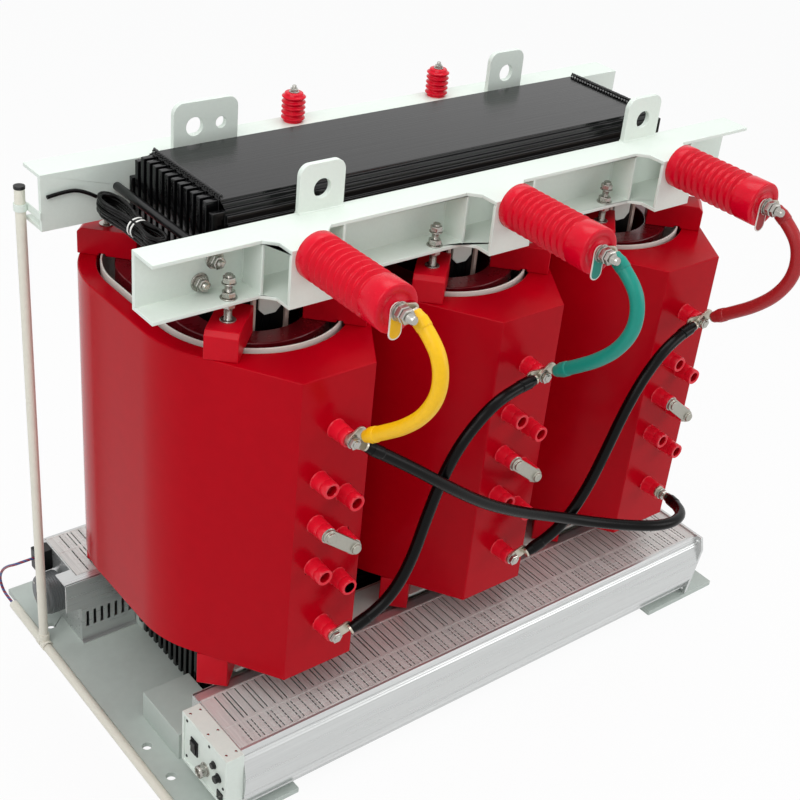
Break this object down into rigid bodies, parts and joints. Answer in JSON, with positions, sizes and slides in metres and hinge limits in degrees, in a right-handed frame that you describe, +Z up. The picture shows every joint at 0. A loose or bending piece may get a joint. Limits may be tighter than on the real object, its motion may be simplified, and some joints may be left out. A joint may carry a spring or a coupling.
{
  "type": "dry type transformer",
  "caption": "Cast-resin dry type power transformer with stepped core, delta cables, bushings and cross-flow cooling fans on base plates",
  "frame": {"origin": "centre of the anchor-hole pattern on the floor plane", "axes": "+X along the row of phases away from the conduit, +Y to the low-voltage side, +Z up"},
  "size_m": [1.6493, 1.149, 1.358],
  "materials": {
    "cast_resin_red": "smooth cast epoxy resin",
    "cast_resin_maroon": "resin-soaked foil winding",
    "moulded_red": "moulded epoxy",
    "lead_yellow": "silicone sleeve",
    "lead_green": "silicone sleeve",
    "lead_red": "silicone sleeve",
    "core_varnish": "glossy black varnish on electrical steel",
    "clamp_paint": "pale grey-green powder coat",
    "glass_board": "glass-fibre laminate",
    "zinc_steel": "zinc-plated steel",
    "tinned_copper": "tinned",
    "tag_plate": "enamelled plate",
    "fan_aluminium": "satin anodised",
    "motor_grey": "satin grey",
    "black_plastic": "moulded plastic",
    "conduit_cream": "painted conduit",
    "cable_black": "silicone rubber"
  },
  "bodies": {
    "transformer": {"barrier_cylinders": "glass_board", "base_plate_far": "clamp_paint", "base_plate_near": "clamp_paint", "block_bolts": "zinc_steel", "bushing_studs": "zinc_steel", "cable_a_c": "cable_black", "cable_b_a": "cable_black", "cable_c_b": "cable_black", "cable_lugs": "tinned_copper", "conduit_cap": "black_plastic", "conduit_clip": "clamp_paint", "conduit_pipes": "conduit_cream", "conduit_tee": "conduit_cream", "core_insulation": "glass_board", "core_limbs": "core_varnish", "foot_beam_front": "clamp_paint", "foot_beam_rear": "clamp_paint", "front_fan_end_plate": "fan_aluminium", "front_fan_fittings": "black_plastic", "front_fan_grille": "fan_aluminium", "front_fan_motor_box": "clamp_paint", "front_fan_trough": "fan_aluminium", "hv_bushings": "moulded_red", "hv_coil_a": "cast_resin_red", "hv_coil_b": "cast_resin_red", "hv_coil_c": "cast_resin_red", "joint_beads": "core_varnish", "lower_clamp_front": "clamp_paint", "lower_clamp_rear": "clamp_paint", "lower_yoke": "core_varnish", "lv_coil_a": "cast_resin_maroon", "lv_coil_b": "cast_resin_maroon", "lv_coil_c": "cast_resin_maroon", "lv_terminal_bars": "tinned_copper", "motor_wire": "cable_black", "phase_lead_a": "lead_yellow", "phase_lead_b": "lead_green", "phase_lead_c": "lead_red", "phase_tags": "tag_plate", "post_bolts": "zinc_steel", "post_insulators": "moulded_red", "rear_fan_capacitor": "black_plastic", "rear_fan_end_plate": "fan_aluminium", "rear_fan_grille": "fan_aluminium", "rear_fan_motor": "motor_grey", "rear_fan_trough": "fan_aluminium", "sensor_hank": "cable_black", "sensor_wire": "cable_black", "support_blocks_a": "moulded_red", "support_blocks_b": "moulded_red", "support_blocks_c": "moulded_red", "tap_links": "zinc_steel", "terminal_nuts": "zinc_steel", "tie_rods": "zinc_steel", "upper_clamp_front": "clamp_paint", "upper_clamp_rear": "clamp_paint", "upper_yoke": "core_varnish"},
    "front_impeller": {"front_fan_impeller": "fan_aluminium"},
    "rear_impeller": {"rear_fan_impeller": "fan_aluminium"}
  },
  "joints": [
    {"name": "front_fan_spin", "type": "hinge", "parent": "transformer", "child": "front_impeller", "pos_m": [0, -0.375, 0.112], "axis": [1, 0, 0], "continuous": true},
    {"name": "rear_fan_spin", "type": "hinge", "parent": "transformer", "child": "rear_impeller", "pos_m": [-0.028, 0.303, 0.112], "axis": [1, 0, 0], "continuous": true}
  ]
}
